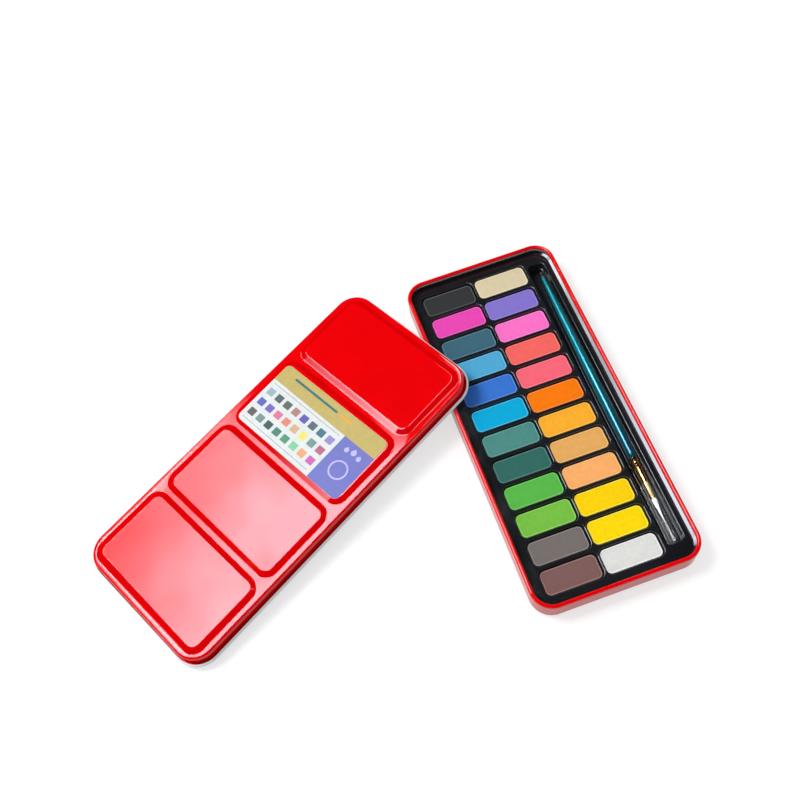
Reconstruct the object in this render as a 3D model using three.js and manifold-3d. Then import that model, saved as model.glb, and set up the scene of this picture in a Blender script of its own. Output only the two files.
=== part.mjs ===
// Watercolour paint box: a slip-lid tin, a moulded tray with twenty-four paint cakes, and a sleeved brush.
// Millimetres, +X along the tin's short side, +Y along its long side, +Z up.
// The origin is the middle of the tin's underside. The lid is off: it lies beside the tin with one corner
// propped on the rim, wells down, and the brush lies in its channel with the sleeve over the hair.

import * as THREE from 'three';
import { mergeVertices } from 'three/addons/utils/BufferGeometryUtils.js';
import Module from 'manifold-3d';

// Driving dimensions of the tin
const tinLength = 235;
const tinWidth = 102.8;
const tinHeight = 16;
const tinCornerRadius = 13.3;
const tinSheet = 0.5;
const tinFloorRadius = 2.2;
const rimCurlRadius = 1.3;
const rimCurlDegrees = 290;

// Driving dimensions of the lid
const lidDeckHeight = 9.5;
const lidSheet = 0.5;
const lidClearance = 0.65;
const lidShoulderRadius = 2;
const lidCurlRadius = 0.85;
const lidCurlDegrees = 255;
const mixingWells = 4;
const mixingWellRise = 0.8;
const mixingWellSlope = 3.6;
const mixingWellSideMargin = 4.2;
const mixingWellEndMargin = 3.8;
const mixingWellGap = 3;
const mixingWellCornerRadius = 8.5;

// Where the lid lies: how far its corner reaches in over the tin's near side, and its place along the tin
const lidOverhang = 14.8;
const lidAlong = 22;
const lidTurnDegrees = -62.2;

// Driving dimensions of the label, which sits on the crest of the second mixing well from the tin
const labelEndMargin = 0.25;
const labelSideMargin = 0.39;
const labelThickness = 0.2;
const labelCornerRadius = 3.4;
const labelShiftAcross = -0.6;
const labelShiftAlong = -0.9;
const labelTurnDegrees = 0.6;
const labelWellIndex = 2;
const labelGlueGap = 0.25;

// Driving dimensions of the tray
const trayDeckDrop = 6;
const traySheet = 0.5;
const trayWallGap = 2;
const trayEdgeRadius = 2.2;
const wellClearance = 0.25;
const wellDraft = 0.35;
const wellEdgeRadius = 0.5;

// Driving dimensions of the paint cakes, which share the tin's length in two columns of rows
const cakeRows = 12;
const cakeEndMargin = 9.45;
const cakeRowGap = 3.39;
const cakeSideMargin = 9.9;
const cakeColumnGap = 2.6;
const cakeThickness = 4;
const cakeDrop = 7.8;
const cakeCornerRadius = 3.3;
const cakeEdgeRadius = 0.8;
const proudCakeRise = 0.9;

// Driving dimensions of the brush channel and of the finger recess at its far end
const channelSideMargin = 6.6;
const channelCakeGap = 2.1;
const channelNearMargin = 12.7;
const channelFarMargin = 11.3;
const channelWidth = 12.8;
const channelDepth = 5.4;
const channelCornerRadius = 3.6;
const channelDraft = 0.6;
const channelEdgeRadius = 0.5;
const recessLength = 8;
const recessFloorGap = 0.6;
const recessLip = 0.4;
const recessDraft = 0.4;
const recessEdgeRadius = 0.3;
const recessCornerRadius = 2.2;

// Driving dimensions of the brush, measured along it from the end of the ferrule
const handleTailRadius = 1.4;
const handleBellyRadius = 2.85;
const handleNeckRadius = 2.5;
const handleTenonLength = 9;
const handleBellyStartShare = 0.22;
const handleBellyEndShare = 0.42;
const handleSlimShare = 0.75;
const ferruleLength = 28;
const ferruleWall = 0.2;
const ferruleMouthRadius = 2.5;
const ferruleTipRadius = 1.4;
const crimpRings = 3;
const crimpPitch = 1.6;
const crimpDepth = 0.3;
const crimpStart = 2.4;
const tuftLength = 16;
const tuftRadius = 1;
const tuftBellyGrowth = 1.2;
const tuftRootDepth = 3;
const tuftRootRadius = 1.08;
const tuftStrands = 300;
const strandRadius = 0.04;
const sleeveLength = 38.5;
const sleeveRadius = 2.4;
const sleeveWall = 0.25;
const sleeveOverlap = 11;
const sleeveEndGap = 2.3;
const handleTailGap = 11.2;
const brushShift = 0.5;
const brushYawDegrees = -0.45;

// Running clearances
const seatGap = 0.2;
const fitGap = 0.2;
const restGap = 0.25;

// Steps round corners and curls
const tinCornerSteps = 7;
const wellCornerSteps = 3;
const panelCornerSteps = 5;
const curlSteps = 9;
const bendSteps = 3;
const cakeBendSteps = 2;
const brushSides = 20;

const quarterTurnDegrees = 90;
const halfTurnDegrees = 180;

const finish = (color, roughness, metalness) => new THREE.MeshStandardMaterial({ color, roughness, metalness });
const redLacquer = finish(0xd8101a, 0.25, 0.3);
const blackTray = finish(0x16161a, 0.3, 0);
const labelPaper = finish(0xf2f0ea, 0.55, 0);
const tealLacquer = finish(0x0d7f9c, 0.2, 0.4);
const goldPlate = finish(0xc79a4e, 0.25, 1);
const whiteHair = finish(0xf4f2ee, 0.7, 0);
const clearSleeve = finish(0xdfe6ea, 0.1, 0);
const cakeColours = {
  left: [0x3c3c37, 0xec48be, 0x466e7d, 0x4ba5d7, 0x416ecd, 0x00ace0,
    0x509182, 0x327369, 0x55be4b, 0x73c350, 0x706664, 0x7d5555],
  right: [0xdecda0, 0x8773cd, 0xff6ecd, 0xfa695f, 0xfa697d, 0xff8000,
    0xffb22d, 0xe1aa5f, 0xffb273, 0xffd200, 0xfcdc00, 0xdededa],
};

// Points round a rounded rectangle, anticlockwise from above, as many for every size
function roundedOutline({ halfX, halfY, radius, x = 0, y = 0, steps }) {
  const points = [];
  const corners = [[1, 1], [-1, 1], [-1, -1], [1, -1]];
  corners.forEach(([sideX, sideY], quarter) => {
    for (let step = 0; step <= steps; step += 1) {
      const angle = (quarter + step / steps) * Math.PI / 2;
      points.push(new THREE.Vector2(
        x + sideX * (halfX - radius) + radius * Math.cos(angle),
        y + sideY * (halfY - radius) + radius * Math.sin(angle),
      ));
    }
  });
  return points;
}

// The same outline drawn in by an inset, at a height
function ring(outline, inset, z) {
  const { halfX, halfY, radius } = outline;
  return {
    points: roundedOutline({ ...outline, halfX: halfX - inset, halfY: halfY - inset, radius: radius - inset }),
    z,
  };
}

// A closed surface made of bands between rings and of flat faces, each of which may have holes
class Surface {
  constructor() {
    this.positions = [];
  }

  triangle(...corners) {
    corners.forEach(([point, z]) => this.positions.push(point.x, point.y, z));
  }

  // From ring to ring: on the outer side going up, over the top inwards, and down the inner side
  band(from, to) {
    const count = from.points.length;
    for (let index = 0; index < count; index += 1) {
      const next = (index + 1) % count;
      const low = [from.points[index], from.z];
      const lowNext = [from.points[next], from.z];
      const highNext = [to.points[next], to.z];
      const high = [to.points[index], to.z];
      this.triangle(low, lowNext, highNext);
      this.triangle(low, highNext, high);
    }
  }

  bands(rings) {
    rings.slice(1).forEach((next, index) => this.band(rings[index], next));
  }

  face(outer, holes, facesUp) {
    const holePoints = holes.map((hole) => [...hole.points].reverse());
    const flat = [outer.points, ...holePoints].flat();
    THREE.ShapeUtils.triangulateShape([...outer.points], holePoints).forEach((corners) => {
      const [a, b, c] = corners.map((corner) => [flat[corner], outer.z]);
      this.triangle(a, facesUp ? b : c, facesUp ? c : b);
    });
  }

  geometry() {
    const geometry = new THREE.BufferGeometry();
    geometry.setAttribute('position', new THREE.Float32BufferAttribute(this.positions, 3));
    geometry.computeVertexNormals();
    return geometry;
  }
}

// Heights and insets round an arc, for a bend or a curl seen in section
function arc({ inset, z, radius, from, to, steps }) {
  return Array.from({ length: steps + 1 }, (_, step) => {
    const angle = THREE.MathUtils.degToRad(from + (to - from) * step / steps);
    return { inset: inset - radius * Math.cos(angle), z: z + radius * Math.sin(angle) };
  });
}

const ringsOf = (outline, section) => section.map((place) => ring(outline, place.inset, place.z));

// The tin: one drawn sheet, floor, wall and a rim curled inwards with its edge left open
const tinOutline = {
  halfX: tinWidth / 2, halfY: tinLength / 2, radius: tinCornerRadius, steps: tinCornerSteps,
};

function baseTin() {
  const curlCentre = { inset: rimCurlRadius, z: tinHeight - rimCurlRadius };
  const bend = {
    inset: tinFloorRadius, z: tinFloorRadius, from: -quarterTurnDegrees, to: 0, steps: bendSteps,
  };
  const curl = { ...curlCentre, from: 0, to: rimCurlDegrees, steps: curlSteps };
  const section = [
    ...arc({ ...bend, radius: tinFloorRadius }),
    ...arc({ ...curl, radius: rimCurlRadius }),
    ...arc({ ...curl, radius: rimCurlRadius - tinSheet }).reverse(),
    ...arc({ ...bend, radius: tinFloorRadius - tinSheet }).reverse(),
  ];
  const rings = ringsOf(tinOutline, section);
  const surface = new Surface();
  surface.face(rings[0], [], false);
  surface.bands(rings);
  surface.face(rings[rings.length - 1], [], true);
  return surface.geometry();
}

// A pocket pressed into a sheet: its mouth, wall and floor on both faces, with pockets in its floor
function pressPocket(surface, pocket, deck, sheet) {
  const { outline, depth, draft, edgeRadius, pockets = [] } = pocket;
  const floor = deck - depth;
  const inside = [
    ring(outline, -edgeRadius, deck),
    ring(outline, 0, deck - edgeRadius),
    ring(outline, draft, floor),
  ];
  const outside = [
    ring(outline, draft - sheet, floor - sheet),
    ring(outline, -sheet, deck - sheet),
  ];
  const nested = pockets.map((inner) => pressPocket(surface, inner, floor, sheet));
  surface.bands(inside);
  surface.face(inside[inside.length - 1], nested.map((mouth) => mouth.inside), true);
  surface.face(outside[0], nested.map((mouth) => mouth.outside), false);
  surface.bands(outside);
  return { inside: inside[0], outside: outside[outside.length - 1] };
}

// The tray: a thermoformed sheet with a well for each cake and a channel for the brush
const deckHeight = tinHeight - trayDeckDrop;
const channelFloor = deckHeight - channelDepth;
const cakeTop = tinHeight - cakeDrop;
const wellFloor = cakeTop - cakeThickness - seatGap;

const cakeRun = tinLength - 2 * cakeEndMargin;
const cakeWidth = (cakeRun - (cakeRows - 1) * cakeRowGap) / cakeRows;
const cakeRowPitch = cakeWidth + cakeRowGap;
const cakeRowPlaces = Array.from({ length: cakeRows }, (_, row) => ((cakeRows - 1) / 2 - row) * cakeRowPitch);

const besideCakes = channelCakeGap + channelWidth + channelSideMargin;
const cakeLength = (tinWidth - cakeSideMargin - cakeColumnGap - besideCakes) / 2;
const leftColumnAcross = -tinWidth / 2 + cakeSideMargin + cakeLength / 2;
const cakeColumns = [
  { side: 'left', across: leftColumnAcross },
  { side: 'right', across: leftColumnAcross + cakeLength + cakeColumnGap },
];

const channelLength = tinLength - channelNearMargin - channelFarMargin;
const channelAcross = tinWidth / 2 - channelSideMargin - channelWidth / 2;
const channelAlong = (channelNearMargin - channelFarMargin) / 2;
const recessDepth = channelFloor - traySheet - tinSheet - recessFloorGap;

function cakeWell(across, along) {
  return {
    outline: {
      halfX: cakeLength / 2 + wellClearance + wellDraft,
      halfY: cakeWidth / 2 + wellClearance + wellDraft,
      radius: cakeCornerRadius + wellClearance + wellDraft,
      x: across,
      y: along,
      steps: wellCornerSteps,
    },
    depth: deckHeight - wellFloor,
    draft: wellDraft,
    edgeRadius: wellEdgeRadius,
  };
}

function brushChannel() {
  const floorHalfX = channelWidth / 2 - channelEdgeRadius - channelDraft;
  const floorEnd = channelAlong + channelLength / 2 - channelEdgeRadius - channelDraft;
  const recess = {
    outline: {
      halfX: floorHalfX - recessLip - recessEdgeRadius,
      halfY: recessLength / 2,
      radius: recessCornerRadius,
      x: channelAcross,
      y: floorEnd - recessLip - recessEdgeRadius - recessLength / 2,
      steps: wellCornerSteps,
    },
    depth: recessDepth,
    draft: recessDraft,
    edgeRadius: recessEdgeRadius,
  };
  return {
    outline: {
      halfX: channelWidth / 2 - channelEdgeRadius,
      halfY: channelLength / 2 - channelEdgeRadius,
      radius: channelCornerRadius,
      x: channelAcross,
      y: channelAlong,
      steps: panelCornerSteps,
    },
    depth: channelDepth,
    draft: channelDraft,
    edgeRadius: channelEdgeRadius,
    pockets: [recess],
  };
}

function paintTray() {
  const outline = {
    halfX: tinWidth / 2 - tinSheet - trayWallGap,
    halfY: tinLength / 2 - tinSheet - trayWallGap,
    radius: tinCornerRadius - tinSheet - trayWallGap,
    steps: tinCornerSteps,
  };
  const foot = tinSheet + seatGap;
  const bend = {
    inset: trayEdgeRadius, z: deckHeight - trayEdgeRadius, from: 0, to: quarterTurnDegrees, steps: bendSteps,
  };
  const outer = ringsOf(outline, [{ inset: 0, z: foot }, ...arc({ ...bend, radius: trayEdgeRadius })]);
  const inner = ringsOf(outline, [
    ...arc({ ...bend, radius: trayEdgeRadius - traySheet }).reverse(),
    { inset: traySheet, z: foot },
  ]);
  const wells = cakeColumns.flatMap(({ across }) => cakeRowPlaces.map((along) => cakeWell(across, along)));
  const surface = new Surface();
  const mouths = [...wells, brushChannel()].map((pocket) => pressPocket(surface, pocket, deckHeight, traySheet));
  surface.bands(outer);
  surface.face(outer[outer.length - 1], mouths.map((mouth) => mouth.inside), true);
  surface.face(inner[0], mouths.map((mouth) => mouth.outside), false);
  surface.bands([...inner, outer[0]]);
  return surface.geometry();
}

// A paint cake: a pressed block with a rounded top edge, lying in its well
function paintCake(across, along, rise) {
  const outline = {
    halfX: cakeLength / 2,
    halfY: cakeWidth / 2,
    radius: cakeCornerRadius,
    x: across,
    y: along,
    steps: wellCornerSteps,
  };
  const top = cakeTop + rise;
  const bend = {
    inset: cakeEdgeRadius, z: top - cakeEdgeRadius, from: 0, to: quarterTurnDegrees, steps: cakeBendSteps,
  };
  const rings = ringsOf(outline, [
    { inset: 0, z: top - cakeThickness },
    ...arc({ ...bend, radius: cakeEdgeRadius }),
  ]);
  const surface = new Surface();
  surface.face(rings[0], [], false);
  surface.bands(rings);
  surface.face(rings[rings.length - 1], [], true);
  return surface.geometry();
}

// The lid: one drawn sheet with a rounded shoulder, a skirt with its edge curled outwards, and mixing wells
// pressed up out of its deck. Its own frame stands on the open edge, in the middle.
const skirtGrowth = lidClearance + lidSheet;
const lidOutline = {
  halfX: tinWidth / 2 + skirtGrowth,
  halfY: tinLength / 2 + skirtGrowth,
  radius: tinCornerRadius + skirtGrowth,
  steps: tinCornerSteps,
};
const mixingWellHalfX = lidOutline.halfX - mixingWellSideMargin;
const mixingWellRun = 2 * (lidOutline.halfY - mixingWellEndMargin) - (mixingWells - 1) * mixingWellGap;
const mixingWellLength = mixingWellRun / mixingWells;
const mixingWellPlace = (index) => (index - (mixingWells - 1) / 2) * (mixingWellLength + mixingWellGap);

// Shares of the slope's width and of its rise, from its foot to its crest
const slopeShares = [[0, 0], [0.3, 0.17], [0.7, 0.83], [1, 1]];

function lidShell() {
  const surface = new Surface();
  const mouths = Array.from({ length: mixingWells }, (_, index) => {
    const outline = {
      halfX: mixingWellHalfX,
      halfY: mixingWellLength / 2,
      radius: mixingWellCornerRadius,
      y: mixingWellPlace(index),
      steps: panelCornerSteps,
    };
    const slope = (drop) => slopeShares.map(([runShare, riseShare]) => ring(
      outline,
      runShare * mixingWellSlope,
      lidDeckHeight - drop + riseShare * mixingWellRise,
    ));
    const outside = slope(0);
    const inside = slope(lidSheet);
    surface.bands(outside);
    surface.face(outside[outside.length - 1], [], true);
    surface.bands([...inside].reverse());
    surface.face(inside[inside.length - 1], [], false);
    return { outside: outside[0], inside: inside[0] };
  });
  const shoulder = {
    inset: lidShoulderRadius,
    z: lidDeckHeight - lidShoulderRadius,
    from: 0,
    to: quarterTurnDegrees,
    steps: bendSteps,
  };
  const curl = {
    inset: lidSheet - lidCurlRadius,
    z: lidCurlRadius,
    from: -halfTurnDegrees,
    to: lidCurlDegrees - halfTurnDegrees,
    steps: curlSteps,
  };
  const rings = ringsOf(lidOutline, [
    ...arc({ ...shoulder, radius: lidShoulderRadius - lidSheet }).reverse(),
    ...arc({ ...curl, radius: lidCurlRadius }),
    ...arc({ ...curl, radius: lidCurlRadius - lidSheet }).reverse(),
    ...arc({ ...shoulder, radius: lidShoulderRadius }),
  ]);
  surface.face(rings[0], mouths.map((mouth) => mouth.inside), false);
  surface.bands(rings);
  surface.face(rings[rings.length - 1], mouths.map((mouth) => mouth.outside), true);
  return surface.geometry();
}

function lidLabel() {
  const outline = {
    halfX: mixingWellHalfX - mixingWellSlope - labelEndMargin,
    halfY: mixingWellLength / 2 - mixingWellSlope - labelSideMargin,
    radius: labelCornerRadius,
    steps: panelCornerSteps,
  };
  const rings = ringsOf(outline, [{ inset: 0, z: 0 }, { inset: 0, z: labelThickness }]);
  const surface = new Surface();
  surface.face(rings[0], [], false);
  surface.bands(rings);
  surface.face(rings[1], [], true);
  return surface.geometry();
}

// A solid of revolution about +Y, from the radius and the place of each point of its section
function turned(section) {
  const points = section.map(([radius, along]) => new THREE.Vector2(radius, along));
  return new THREE.LatheGeometry(points, brushSides);
}

// The sleeve ends short of the channel's near end, and the handle's tail short of its far end
const sleeveReach = sleeveLength - sleeveOverlap;
const handleLength = channelLength - sleeveEndGap - sleeveReach - ferruleLength - handleTailGap;

// Radii along the ferrule, with its crimped rings near the mouth
const ferruleMouth = ferruleLength;
const crimpEnd = ferruleMouth - crimpStart - crimpRings * crimpPitch;

function ferruleSection(wall) {
  const section = [[ferruleMouthRadius - wall, ferruleMouth]];
  for (let crimp = 0; crimp < crimpRings; crimp += 1) {
    const start = ferruleMouth - crimpStart - crimp * crimpPitch;
    section.push([ferruleMouthRadius - wall, start]);
    section.push([ferruleMouthRadius - wall - crimpDepth, start - crimpPitch / 2]);
  }
  section.push([ferruleMouthRadius - wall, crimpEnd]);
  section.push([ferruleTipRadius - wall, 0]);
  return section;
}

function brushFerrule() {
  const outside = ferruleSection(0).reverse();
  const inside = ferruleSection(ferruleWall);
  return turned([...outside, ...inside, outside[0]]);
}

// The handle: a tenon glued into the ferrule, a neck, a long belly and a round tail
function brushHandle() {
  const neck = ferruleMouth + fitGap;
  const tail = ferruleMouth + handleLength;
  const tenonRadius = ferruleMouthRadius - ferruleWall - crimpDepth - fitGap;
  const along = (share) => neck + share * handleLength;
  const slimRadius = THREE.MathUtils.lerp(handleTailRadius, handleBellyRadius, handleBellyEndShare);
  return turned([
    [0, neck - handleTenonLength],
    [tenonRadius, neck - handleTenonLength],
    [tenonRadius, neck],
    [handleNeckRadius, neck],
    [handleBellyRadius, along(handleBellyStartShare)],
    [handleBellyRadius, along(handleBellyEndShare)],
    [slimRadius, along(handleSlimShare)],
    [handleTailRadius, tail - handleTailRadius],
    [handleTailRadius * Math.SQRT1_2, tail - handleTailRadius * (1 - Math.SQRT1_2)],
    [0, tail],
  ]);
}

function bristleSleeve() {
  const start = sleeveOverlap;
  const end = -sleeveReach;
  const bore = sleeveRadius - sleeveWall;
  return turned([[bore, end], [sleeveRadius, end], [sleeveRadius, start], [bore, start], [bore, end]]);
}

const wasm = await Module();
wasm.setup();

function solid(geometry) {
  const bare = geometry.clone();
  bare.deleteAttribute('normal');
  bare.deleteAttribute('uv');
  const merged = mergeVertices(bare);
  return new wasm.Manifold(new wasm.Mesh({
    numProp: 3,
    vertProperties: new Float32Array(merged.getAttribute('position').array),
    triVerts: new Uint32Array(merged.getIndex().array),
  }));
}

function meshed(manifold) {
  const mesh = manifold.getMesh();
  const geometry = new THREE.BufferGeometry();
  geometry.setAttribute('position', new THREE.BufferAttribute(mesh.vertProperties, 3));
  geometry.setIndex(new THREE.BufferAttribute(mesh.triVerts, 1));
  geometry.computeVertexNormals();
  return geometry;
}

// The tuft: tapered three-sided strands, spread like sunflower seeds, drawn in together to a point and
// rooted in a short plug. The section only shrinks towards its middle, so no strand crosses another.
function brushHair() {
  const goldenAngle = Math.PI * (3 - Math.sqrt(5));
  const strandSides = 3;
  const bellyShare = 0.3;
  const outerTipShare = 0.55;
  const gatherShare = 0.3;
  const positions = [];
  const push = (...corners) => corners.forEach((corner) => positions.push(...corner));
  for (let strand = 0; strand < tuftStrands; strand += 1) {
    const reachShare = Math.sqrt((strand + 0.5) / tuftStrands);
    const angle = strand * goldenAngle;
    const centreX = reachShare * tuftRadius * Math.cos(angle);
    const centreZ = reachShare * tuftRadius * Math.sin(angle);
    const loop = (growth, along) => Array.from({ length: strandSides }, (_, side) => {
      const turn = side / strandSides * 2 * Math.PI;
      const x = centreX + strandRadius * Math.sin(turn);
      const z = centreZ + strandRadius * Math.cos(turn);
      return [growth * x, along, growth * z];
    });
    const tipShare = THREE.MathUtils.lerp(1, outerTipShare, reachShare);
    const root = loop(1, tuftRootDepth / 2);
    const belly = loop(tuftBellyGrowth, -bellyShare * tuftLength);
    const tip = [gatherShare * centreX, -tipShare * tuftLength, gatherShare * centreZ];
    push(root[0], root[1], root[2]);
    for (let side = 0; side < strandSides; side += 1) {
      const next = (side + 1) % strandSides;
      push(root[side], belly[next], root[next]);
      push(root[side], belly[side], belly[next]);
      push(belly[side], tip, belly[next]);
    }
  }
  const strands = new THREE.BufferGeometry();
  strands.setAttribute('position', new THREE.Float32BufferAttribute(positions, 3));
  const plug = turned([[0, 0], [tuftRootRadius, 0], [tuftRootRadius, tuftRootDepth], [0, tuftRootDepth]]);
  return meshed(solid(plug).add(solid(strands)));
}

// The parts, each a mesh with its own name
function named(name, geometry, material) {
  const mesh = new THREE.Mesh(geometry, material);
  mesh.name = name;
  return mesh;
}

const box = new THREE.Group();
box.add(named('base_tin', baseTin(), redLacquer));
box.add(named('paint_tray', paintTray(), blackTray));

cakeColumns.forEach(({ side, across }) => {
  cakeRowPlaces.forEach((along, row) => {
    const number = String(row + 1).padStart(2, '0');
    const rise = side === 'right' && row === 0 ? proudCakeRise : 0;
    const colour = finish(cakeColours[side][row], 0.85, 0);
    box.add(named(`paint_cake_${side}_${number}`, paintCake(across, along, rise), colour));
  });
});

// The brush lies on the handle's belly, a little askew, on the channel's floor
const brush = new THREE.Group();
brush.position.set(
  channelAcross + brushShift,
  channelNearMargin - tinLength / 2 + sleeveEndGap + sleeveReach,
  channelFloor + seatGap + handleBellyRadius,
);
brush.rotation.z = THREE.MathUtils.degToRad(brushYawDegrees);
brush.add(named('brush_handle', brushHandle(), tealLacquer));
brush.add(named('brush_ferrule', brushFerrule(), goldPlate));
brush.add(named('brush_hair', brushHair(), whiteHair));
brush.add(named('bristle_sleeve', bristleSleeve(), clearSleeve));
box.add(brush);

// The lid leans across the near rim: its open edge clears the rim's curl, and its far corner the table
const lidTurn = THREE.MathUtils.degToRad(lidTurnDegrees);
const curlReach = lidCurlRadius * 2 - lidSheet;
const cornerRadius = lidOutline.radius + curlReach;
const cornerReach = cornerRadius
  + (lidOutline.halfX + curlReach - cornerRadius) * Math.abs(Math.cos(lidTurn))
  + (lidOutline.halfY + curlReach - cornerRadius) * Math.abs(Math.sin(lidTurn));
const lidTilt = Math.asin(tinHeight / (2 * cornerReach - lidOverhang));
const lean = new THREE.Group();
lean.position.set(-tinWidth / 2 + rimCurlRadius, 0, tinHeight + restGap);
lean.rotation.y = -lidTilt;
const lid = new THREE.Group();
lid.position.set(lidOverhang - cornerReach - rimCurlRadius, lidAlong, 0);
lid.rotation.z = lidTurn;
lid.add(named('lid_shell', lidShell(), redLacquer));
const label = named('lid_label', lidLabel(), labelPaper);
label.position.set(
  labelShiftAcross,
  mixingWellPlace(labelWellIndex) + labelShiftAlong,
  lidDeckHeight + mixingWellRise + labelGlueGap,
);
label.rotation.z = THREE.MathUtils.degToRad(labelTurnDegrees);
lid.add(label);
lean.add(lid);
box.add(lean);

export default box;
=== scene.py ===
# %% [markdown]
# # A watercolour paint box, dressed on its frame
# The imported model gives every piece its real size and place, in metres. This lesson puts a finely modelled
# piece over each of its nodes, gives each one the finish of the real thing, and lights the lot as a product
# photographer would: one large soft light high on the left, a dark ceiling for deep colour, a white table.

# %% Load the frame
import math
import random

import bmesh
import bpy
from mathutils import Matrix, Vector


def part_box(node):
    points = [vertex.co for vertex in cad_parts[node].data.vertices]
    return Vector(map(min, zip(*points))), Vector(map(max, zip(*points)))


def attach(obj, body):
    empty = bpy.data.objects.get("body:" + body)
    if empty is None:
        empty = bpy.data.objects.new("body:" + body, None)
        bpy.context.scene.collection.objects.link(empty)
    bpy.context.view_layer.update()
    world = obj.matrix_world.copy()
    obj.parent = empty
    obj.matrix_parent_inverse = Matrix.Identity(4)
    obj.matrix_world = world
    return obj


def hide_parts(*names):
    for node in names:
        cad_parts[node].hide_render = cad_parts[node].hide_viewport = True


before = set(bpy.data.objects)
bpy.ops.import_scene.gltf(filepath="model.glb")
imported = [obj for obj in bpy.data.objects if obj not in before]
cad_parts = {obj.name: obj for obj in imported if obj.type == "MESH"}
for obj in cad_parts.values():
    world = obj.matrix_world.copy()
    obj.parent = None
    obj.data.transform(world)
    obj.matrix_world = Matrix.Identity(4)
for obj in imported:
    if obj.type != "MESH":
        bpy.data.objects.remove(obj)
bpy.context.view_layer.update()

# %% [markdown]
# ## The camera
# The camera stands where the photograph was taken from: high over the near end of the tin, a little to its
# left, turned so that the tin leans across the picture. Three unit vectors say how it is turned.

# %% Place the camera
LENS_MM = 42.35
SENSOR_MM = 36
camera_place = Vector((-0.12118, -0.23989, 0.53374))
camera_right = Vector((0.94326, -0.31809, -0.09524))
camera_up = Vector((0.32455, 0.82262, 0.46687))
camera_back = camera_right.cross(camera_up)

bpy.ops.object.camera_add()
camera = bpy.context.object
camera.name = "photograph_camera"
camera.data.lens = LENS_MM
camera.data.sensor_width = SENSOR_MM
camera.matrix_world = Matrix((
    (camera_right.x, camera_up.x, camera_back.x, camera_place.x),
    (camera_right.y, camera_up.y, camera_back.y, camera_place.y),
    (camera_right.z, camera_up.z, camera_back.z, camera_place.z),
    (0, 0, 0, 1),
))
bpy.context.scene.camera = camera
bpy.context.scene.view_settings.view_transform = "Standard"
print("camera at", [round(number, 3) for number in camera_place])

# %% [markdown]
# ## Drawing a section and carrying it round
# The tin, the lid, the tray and its wells are all pressed sheet: one section, the same all the way round a
# rounded rectangle. So a section is drawn as a chain of edges, starting from a single vertex that is pulled
# along for a straight stretch and spun for a bend, and the whole chain is then pulled along each side and
# spun round each corner. Distances across are given as insets from the rectangle's edge.

# %% Helpers that draw a section
MM = 0.001
UP = Vector((0, 0, 1))
MERGE_REACH = 0.001 * MM
LEVEL_ROOM = 0.01 * MM
SHARP_DEGREES = 40


def begin(name):
    """Starts a piece at the origin as one selected vertex, in edit mode"""
    bpy.ops.object.select_all(action="DESELECT")
    bpy.ops.mesh.primitive_plane_add(size=MM)
    piece = bpy.context.object
    piece.name = name
    piece.data.name = name
    bpy.ops.object.mode_set(mode="EDIT")
    bpy.ops.mesh.merge(type="CENTER")
    return piece


def move(step):
    """Moves what is selected"""
    bpy.ops.transform.translate(value=step)


def pull(step):
    """Pulls new edges or faces out of what is selected"""
    bpy.ops.mesh.extrude_region_move(TRANSFORM_OT_translate={"value": step})


def spin(degrees, steps, centre, axis):
    """Spins what is selected: anticlockwise, seen with the axis pointing at the eye"""
    bpy.ops.mesh.spin(steps=steps, angle=-math.radians(degrees), center=centre, axis=axis)


class Section:
    """A section drawn upright at the start of the right-hand side, in insets from the edge and heights"""

    def __init__(self, half_x, half_y, radius, inset, height):
        self.half_x, self.half_y, self.radius = half_x, half_y, radius
        self.inset, self.height = inset, height
        move((half_x - inset, radius - half_y, height))

    def line(self, inset, height):
        """A straight stretch, up to an inset and a height"""
        pull((self.inset - inset, 0, height - self.height))
        self.inset, self.height = inset, height

    def bend(self, centre_inset, centre_height, degrees, steps):
        """Turns about a centre: positive carries the edge of the sheet from outside up over the top"""
        centre = (self.half_x - centre_inset, self.radius - self.half_y, centre_height)
        spin(-degrees, steps, centre, (0, 1, 0))
        across = centre_inset - self.inset
        up = self.height - centre_height
        turn = math.radians(degrees)
        self.inset = centre_inset - across * math.cos(turn) + up * math.sin(turn)
        self.height = centre_height + across * math.sin(turn) + up * math.cos(turn)

    def carry_round(self, steps):
        """Pulls the section along the four sides and spins it round the four corners"""
        flat_x, flat_y = self.half_x - self.radius, self.half_y - self.radius
        bpy.ops.mesh.select_all(action="SELECT")
        for step, corner in (
            ((0, 2 * flat_y, 0), (flat_x, flat_y, 0)),
            ((-2 * flat_x, 0, 0), (-flat_x, flat_y, 0)),
            ((0, -2 * flat_y, 0), (-flat_x, -flat_y, 0)),
            ((2 * flat_x, 0, 0), (flat_x, -flat_y, 0)),
        ):
            pull(step)
            spin(90, steps, corner, (0, 0, 1))
        bpy.ops.mesh.select_all(action="SELECT")
        bpy.ops.mesh.remove_doubles(threshold=MERGE_REACH)


def pick_edges(piece, test):
    """Selects, in edit mode, the edges of the open borders whose two ends pass a test"""
    bpy.ops.mesh.select_mode(type="EDGE")
    bpy.ops.mesh.select_all(action="DESELECT")
    mesh = bmesh.from_edit_mesh(piece.data)
    for edge in mesh.edges:
        edge.select_set(edge.is_boundary and all(test(vert.co) for vert in edge.verts))
    bmesh.update_edit_mesh(piece.data)


def close_border(piece, height):
    """Fills what lies between the open borders at a height, holes and all"""
    pick_edges(piece, lambda place: abs(place.z - height) < LEVEL_ROOM)
    bpy.ops.mesh.fill(use_beauty=True)
    bpy.ops.mesh.select_mode(type="VERT")


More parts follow.
